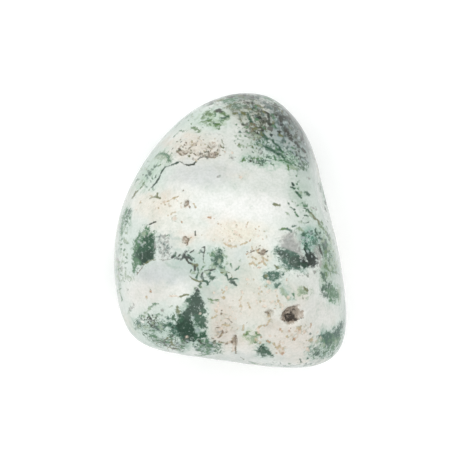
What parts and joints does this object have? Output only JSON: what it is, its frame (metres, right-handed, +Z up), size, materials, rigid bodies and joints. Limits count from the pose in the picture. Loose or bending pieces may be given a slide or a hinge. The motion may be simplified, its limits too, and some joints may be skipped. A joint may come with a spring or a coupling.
{
  "type": "tumbled stone",
  "caption": "Tumbled pebble of white tree agate with green moss-like markings, rounded triangular outline, glossy polish and a few open cavities, lying on a small worn flat.",
  "frame": {"origin": "on the surface the stone lies on, under the middle of its bounding box", "axes": "+Z up, away from the surface; +Y towards the narrow end, along the longest way; +X to the right when seen from above with the narrow end at the top"},
  "size_m": [0.0254, 0.0298, 0.0185],
  "materials": {
    "polished_agate": "tumble-polished opaque white agate with green moss-like inclusions; rough where cavities stayed open"
  },
  "bodies": {
    "root": {"stone": "polished_agate"}
  },
  "joints": []
}
